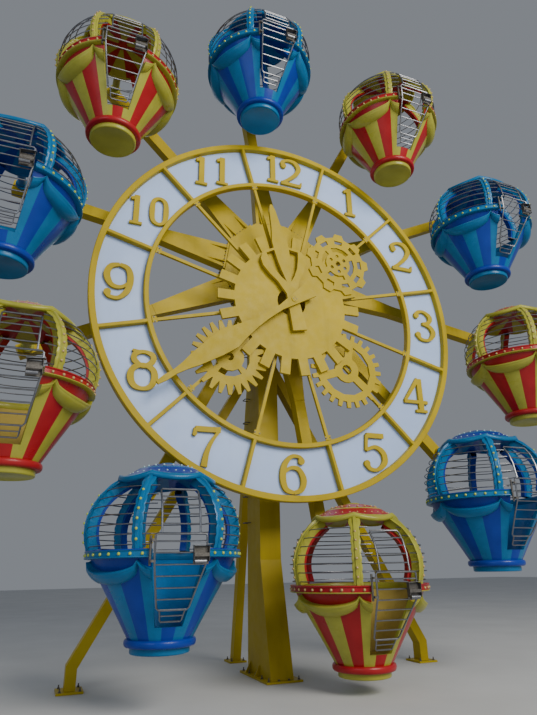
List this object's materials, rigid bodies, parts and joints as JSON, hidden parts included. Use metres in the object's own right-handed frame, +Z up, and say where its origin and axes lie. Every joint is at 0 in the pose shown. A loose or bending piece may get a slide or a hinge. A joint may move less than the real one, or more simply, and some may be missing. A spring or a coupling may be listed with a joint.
{
  "type": "ferris wheel",
  "caption": "Fairground wheel with balloon cabins on box arms, turning behind a large clock face with gears, on a column with side braces and a rear leg.",
  "frame": {"origin": "underside of the main column's base plate, midway across the column", "axes": "+Z up, the clock face and the cabin doors face -Y, +X to the right seen from the front"},
  "size_m": [11.4468, 4.763, 11.9496],
  "materials": {
    "yellow_paint": "semi-gloss paint",
    "dial_paint": "satin paint",
    "red_shell": "gloss",
    "yellow_shell": "gloss",
    "blue_shell": "gloss",
    "teal_shell": "gloss",
    "stainless": "brushed"
  },
  "bodies": {
    "tower": {"main_column": "yellow_paint", "rear_leg": "yellow_paint", "left_brace": "yellow_paint", "right_brace": "yellow_paint", "fixed_axle": "yellow_paint", "clock_hanger": "yellow_paint", "clock_rods": "yellow_paint", "outer_rim": "yellow_paint", "inner_rim": "yellow_paint", "dial": "dial_paint", "gear_plate": "yellow_paint", "gear_upper": "yellow_paint", "gear_left": "yellow_paint", "gear_right": "yellow_paint"},
    "hour_hand": {"hour_hand": "yellow_paint"},
    "minute_hand": {"minute_hand": "yellow_paint"},
    "wheel": {"wheel_hub": "yellow_paint", "arm_01": "yellow_paint", "arm_02": "yellow_paint", "arm_03": "yellow_paint", "arm_04": "yellow_paint", "arm_05": "yellow_paint", "arm_06": "yellow_paint", "arm_07": "yellow_paint", "arm_08": "yellow_paint", "arm_09": "yellow_paint", "arm_10": "yellow_paint"},
    "cabin_01": {"tub_01": "blue_shell", "canopy_01": "teal_shell"},
    "gate_01": {"gate_01": "stainless"},
    "cabin_02": {"tub_02": "red_shell", "canopy_02": "yellow_shell"},
    "gate_02": {"gate_02": "stainless"},
    "cabin_03": {"tub_03": "blue_shell", "canopy_03": "teal_shell"},
    "gate_03": {"gate_03": "stainless"},
    "cabin_04": {"tub_04": "red_shell", "canopy_04": "yellow_shell"},
    "gate_04": {"gate_04": "stainless"},
    "cabin_05": {"tub_05": "blue_shell", "canopy_05": "teal_shell"},
    "gate_05": {"gate_05": "stainless"},
    "cabin_06": {"tub_06": "red_shell", "canopy_06": "yellow_shell"},
    "gate_06": {"gate_06": "stainless"},
    "cabin_07": {"tub_07": "blue_shell", "canopy_07": "teal_shell"},
    "gate_07": {"gate_07": "stainless"},
    "cabin_08": {"tub_08": "red_shell", "canopy_08": "yellow_shell"},
    "gate_08": {"gate_08": "stainless"},
    "cabin_09": {"tub_09": "blue_shell", "canopy_09": "teal_shell"},
    "gate_09": {"gate_09": "stainless"},
    "cabin_10": {"tub_10": "red_shell", "canopy_10": "yellow_shell"},
    "gate_10": {"gate_10": "stainless"}
  },
  "joints": [
    {"name": "wheel_spin", "type": "hinge", "parent": "tower", "child": "wheel", "pos_m": [0, -0.75, 7.06], "axis": [0, 1, 0], "continuous": true},
    {"name": "minute_hand_turn", "type": "hinge", "parent": "tower", "child": "minute_hand", "pos_m": [0, -1.68, 6.09], "axis": [0, 1, 0], "continuous": true},
    {"name": "hour_hand_turn", "type": "hinge", "parent": "tower", "child": "hour_hand", "pos_m": [0, -1.62, 6.09], "axis": [0, 1, 0], "continuous": true},
    {"name": "cabin_01_level", "type": "hinge", "parent": "wheel", "child": "cabin_01", "pos_m": [-0.7234, -1.2, 11.7546], "axis": [0, 1, 0], "continuous": true},
    {"name": "gate_01_swing", "type": "hinge", "parent": "cabin_01", "child": "gate_01", "pos_m": [-1.0784, -2.955, 10.7696], "axis": [0, 0, -1], "range_deg": [0, 100]},
    {"name": "cabin_02_level", "type": "hinge", "parent": "wheel", "child": "cabin_02", "pos_m": [2.1742, -1.2, 11.2832], "axis": [0, 1, 0], "continuous": true},
    {"name": "gate_02_swing", "type": "hinge", "parent": "cabin_02", "child": "gate_02", "pos_m": [1.8192, -2.955, 10.2982], "axis": [0, 0, -1], "range_deg": [0, 100]},
    {"name": "cabin_03_level", "type": "hinge", "parent": "wheel", "child": "cabin_03", "pos_m": [4.2413, -1.2, 9.1987], "axis": [0, 1, 0], "continuous": true},
    {"name": "gate_03_swing", "type": "hinge", "parent": "cabin_03", "child": "gate_03", "pos_m": [3.8863, -2.955, 8.2137], "axis": [0, 0, -1], "range_deg": [0, 100]},
    {"name": "cabin_04_level", "type": "hinge", "parent": "wheel", "child": "cabin_04", "pos_m": [4.6884, -1.2, 6.2973], "axis": [0, 1, 0], "continuous": true},
    {"name": "gate_04_swing", "type": "hinge", "parent": "cabin_04", "child": "gate_04", "pos_m": [4.3334, -2.955, 5.3123], "axis": [0, 0, -1], "range_deg": [0, 100]},
    {"name": "cabin_05_level", "type": "hinge", "parent": "wheel", "child": "cabin_05", "pos_m": [3.3447, -1.2, 3.6872], "axis": [0, 1, 0], "continuous": true},
    {"name": "gate_05_swing", "type": "hinge", "parent": "cabin_05", "child": "gate_05", "pos_m": [2.9897, -2.955, 2.7022], "axis": [0, 0, -1], "range_deg": [0, 100]},
    {"name": "cabin_06_level", "type": "hinge", "parent": "wheel", "child": "cabin_06", "pos_m": [0.7234, -1.2, 2.3654], "axis": [0, 1, 0], "continuous": true},
    {"name": "gate_06_swing", "type": "hinge", "parent": "cabin_06", "child": "gate_06", "pos_m": [0.3684, -2.955, 1.3804], "axis": [0, 0, -1], "range_deg": [0, 100]},
    {"name": "cabin_07_level", "type": "hinge", "parent": "wheel", "child": "cabin_07", "pos_m": [-2.1742, -1.2, 2.8368], "axis": [0, 1, 0], "continuous": true},
    {"name": "gate_07_swing", "type": "hinge", "parent": "cabin_07", "child": "gate_07", "pos_m": [-2.5292, -2.955, 1.8518], "axis": [0, 0, -1], "range_deg": [0, 100]},
    {"name": "cabin_08_level", "type": "hinge", "parent": "wheel", "child": "cabin_08", "pos_m": [-4.2413, -1.2, 4.9213], "axis": [0, 1, 0], "continuous": true},
    {"name": "gate_08_swing", "type": "hinge", "parent": "cabin_08", "child": "gate_08", "pos_m": [-4.5963, -2.955, 3.9363], "axis": [0, 0, -1], "range_deg": [0, 100]},
    {"name": "cabin_09_level", "type": "hinge", "parent": "wheel", "child": "cabin_09", "pos_m": [-4.6884, -1.2, 7.8227], "axis": [0, 1, 0], "continuous": true},
    {"name": "gate_09_swing", "type": "hinge", "parent": "cabin_09", "child": "gate_09", "pos_m": [-5.0434, -2.955, 6.8377], "axis": [0, 0, -1], "range_deg": [0, 100]},
    {"name": "cabin_10_level", "type": "hinge", "parent": "wheel", "child": "cabin_10", "pos_m": [-3.3447, -1.2, 10.4328], "axis": [0, 1, 0], "continuous": true},
    {"name": "gate_10_swing", "type": "hinge", "parent": "cabin_10", "child": "gate_10", "pos_m": [-3.6997, -2.955, 9.4478], "axis": [0, 0, -1], "range_deg": [0, 100]}
  ],
  "couplings": [
    {"joint": "hour_hand_turn", "follows": "minute_hand_turn", "ratio": 0.083333},
    {"joint": "cabin_01_level", "follows": "wheel_spin", "ratio": -1},
    {"joint": "cabin_02_level", "follows": "wheel_spin", "ratio": -1},
    {"joint": "cabin_03_level", "follows": "wheel_spin", "ratio": -1},
    {"joint": "cabin_04_level", "follows": "wheel_spin", "ratio": -1},
    {"joint": "cabin_05_level", "follows": "wheel_spin", "ratio": -1},
    {"joint": "cabin_06_level", "follows": "wheel_spin", "ratio": -1},
    {"joint": "cabin_07_level", "follows": "wheel_spin", "ratio": -1},
    {"joint": "cabin_08_level", "follows": "wheel_spin", "ratio": -1},
    {"joint": "cabin_09_level", "follows": "wheel_spin", "ratio": -1},
    {"joint": "cabin_10_level", "follows": "wheel_spin", "ratio": -1}
  ]
}
